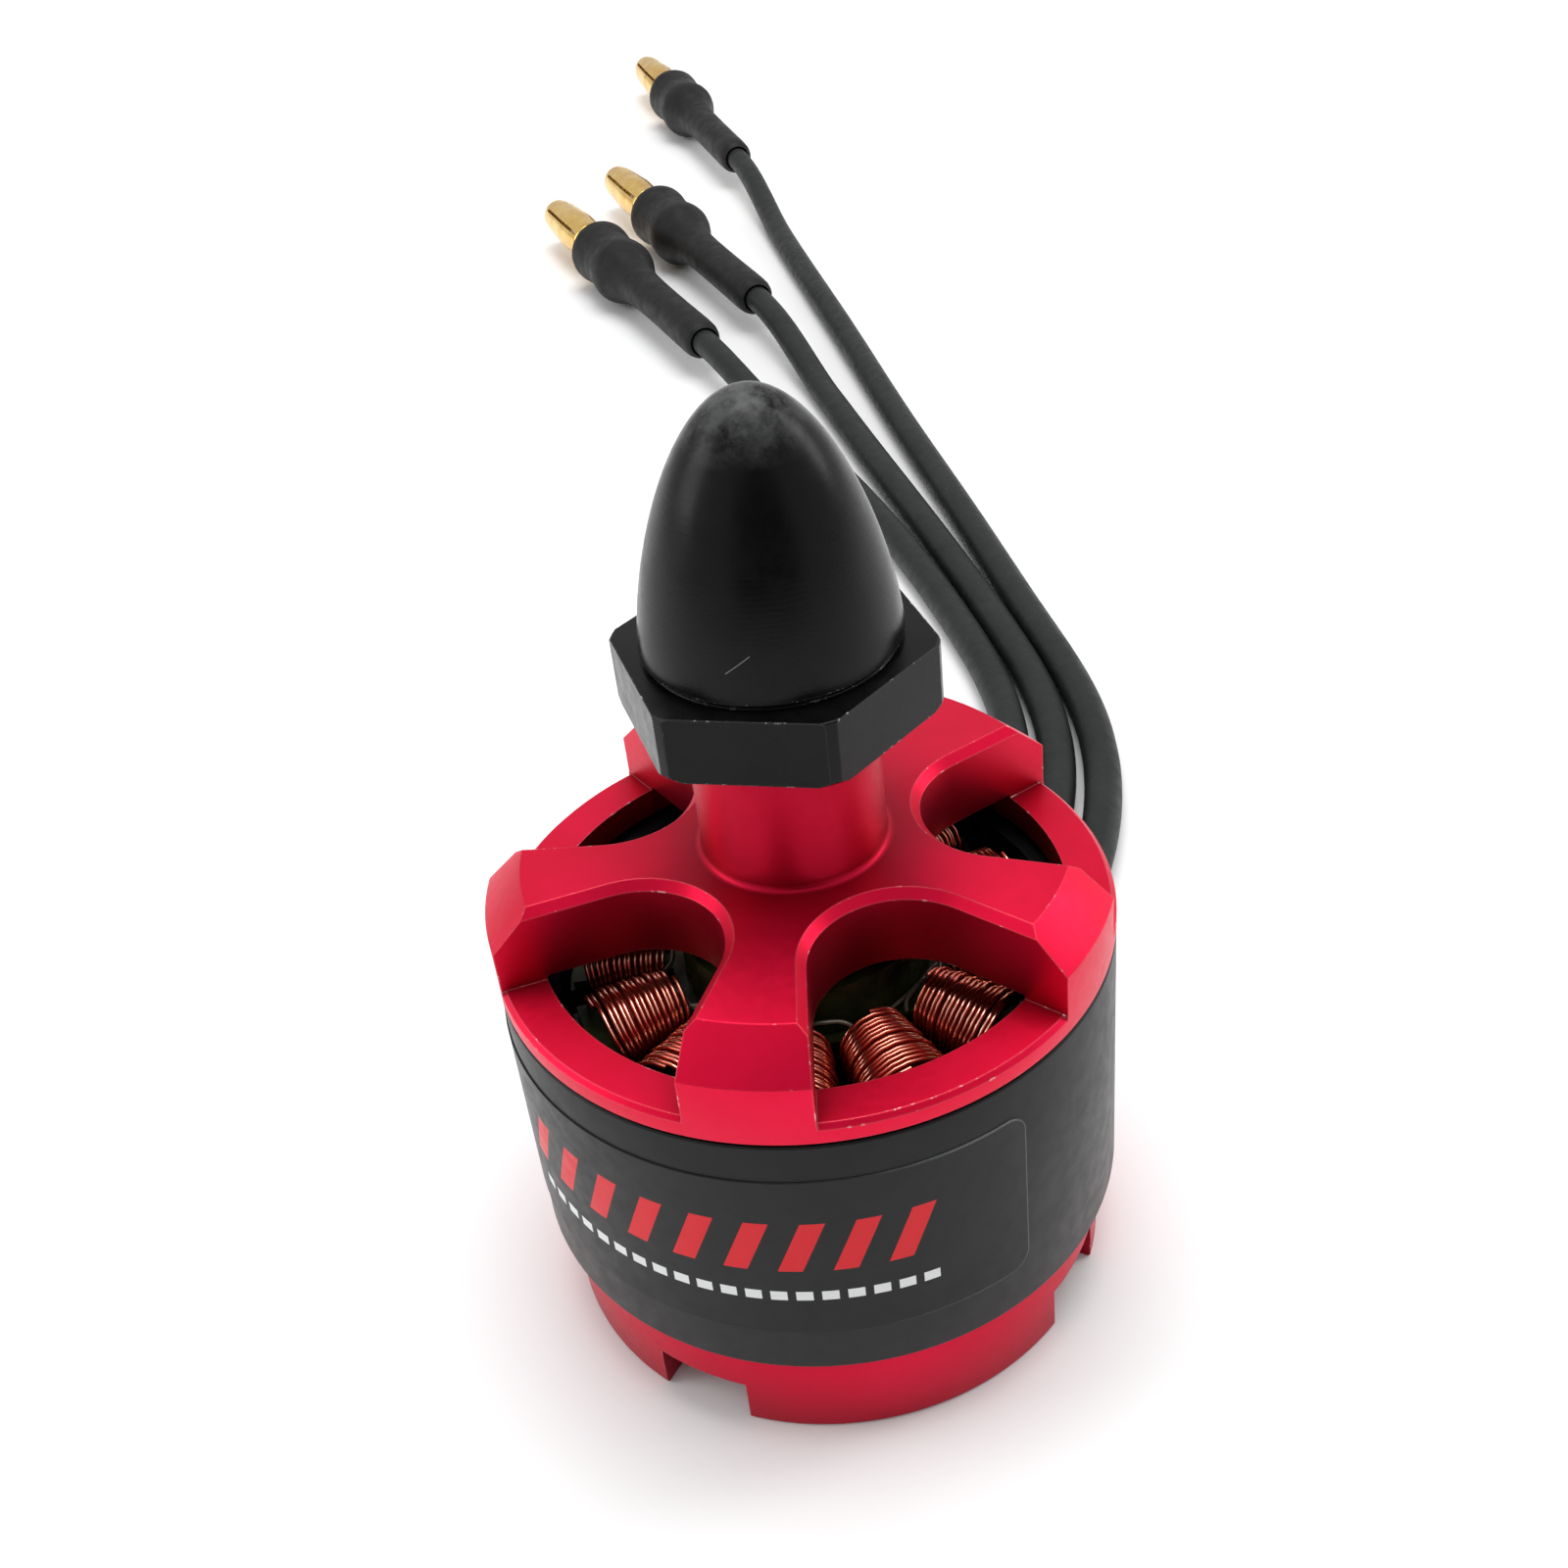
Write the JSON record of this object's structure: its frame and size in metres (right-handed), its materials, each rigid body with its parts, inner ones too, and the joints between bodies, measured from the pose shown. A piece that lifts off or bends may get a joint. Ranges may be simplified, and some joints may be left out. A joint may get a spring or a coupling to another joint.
{
  "type": "brushless outrunner motor",
  "caption": "Small brushless outrunner motor with a spoked red bell, black flux ring, dome propeller nut and three phase leads ending in bullet plugs.",
  "frame": {"origin": "spin axis, on the plane that the mounting base stands on", "axes": "+Z along the spin axis towards the propeller nut; +Y towards the side that the leads run to"},
  "size_m": [0.0414, 0.2131, 0.0452],
  "materials": {
    "red_anodised": "satin red anodised",
    "can_coating": "satin black coating on steel",
    "nut_anodised": "satin black anodised",
    "bearing_steel": "ground steel",
    "magnet_nickel": "nickel-plated magnet",
    "laminations": "dark lacquered laminations",
    "insulating_lacquer": "dark olive insulating lacquer",
    "copper": "enamelled copper wire",
    "lead_insulation": "black silicone insulation",
    "heat_shrink": "black heat-shrink sleeve",
    "gold_plating": "gold-plated brass",
    "label_film": "printed black film"
  },
  "bodies": {
    "stator": {"mount_base": "red_anodised", "stator_core": "laminations", "top_insulator": "insulating_lacquer", "bottom_insulator": "insulating_lacquer", "phase_u_winding": "copper", "phase_v_winding": "copper", "phase_w_winding": "copper", "lower_bearing_outer_race": "bearing_steel", "lower_bearing_lower_shield": "bearing_steel", "lower_bearing_upper_shield": "bearing_steel", "upper_bearing_outer_race": "bearing_steel", "upper_bearing_lower_shield": "bearing_steel", "upper_bearing_upper_shield": "bearing_steel", "lead_u": "lead_insulation", "shrink_sleeve_u": "heat_shrink", "bullet_plug_u": "gold_plating", "lead_v": "lead_insulation", "shrink_sleeve_v": "heat_shrink", "bullet_plug_v": "gold_plating", "lead_w": "lead_insulation", "shrink_sleeve_w": "heat_shrink", "bullet_plug_w": "gold_plating"},
    "rotor": {"bell": "red_anodised", "flux_ring": "can_coating", "magnet_01": "magnet_nickel", "magnet_02": "magnet_nickel", "magnet_03": "magnet_nickel", "magnet_04": "magnet_nickel", "magnet_05": "magnet_nickel", "magnet_06": "magnet_nickel", "magnet_07": "magnet_nickel", "magnet_08": "magnet_nickel", "magnet_09": "magnet_nickel", "magnet_10": "magnet_nickel", "magnet_11": "magnet_nickel", "magnet_12": "magnet_nickel", "magnet_13": "magnet_nickel", "magnet_14": "magnet_nickel", "shaft": "bearing_steel", "shaft_circlip": "bearing_steel", "lower_thrust_washer": "bearing_steel", "upper_spacer_washer": "bearing_steel", "lower_bearing_inner_race": "bearing_steel", "upper_bearing_inner_race": "bearing_steel", "wrap_label": "label_film"},
    "upper_balls": {"upper_bearing_ball_set": "bearing_steel"},
    "lower_balls": {"lower_bearing_ball_set": "bearing_steel"},
    "prop_nut": {"prop_nut": "nut_anodised"}
  },
  "joints": [
    {"name": "rotor_spin", "type": "hinge", "parent": "stator", "child": "rotor", "pos_m": [0, 0, 0], "axis": [0, 0, 1], "continuous": true},
    {"name": "upper_ball_orbit", "type": "hinge", "parent": "stator", "child": "upper_balls", "pos_m": [0, 0, 0.01795], "axis": [0, 0, 1], "continuous": true},
    {"name": "lower_ball_orbit", "type": "hinge", "parent": "stator", "child": "lower_balls", "pos_m": [0, 0, 0.00335], "axis": [0, 0, 1], "continuous": true},
    {"name": "prop_nut_lift", "type": "slide", "parent": "rotor", "child": "prop_nut", "axis": [0, 0, 1], "range_m": [0, 0.0085]}
  ],
  "couplings": [
    {"joint": "upper_ball_orbit", "follows": "rotor_spin", "ratio": 0.3923},
    {"joint": "lower_ball_orbit", "follows": "rotor_spin", "ratio": 0.3923}
  ]
}
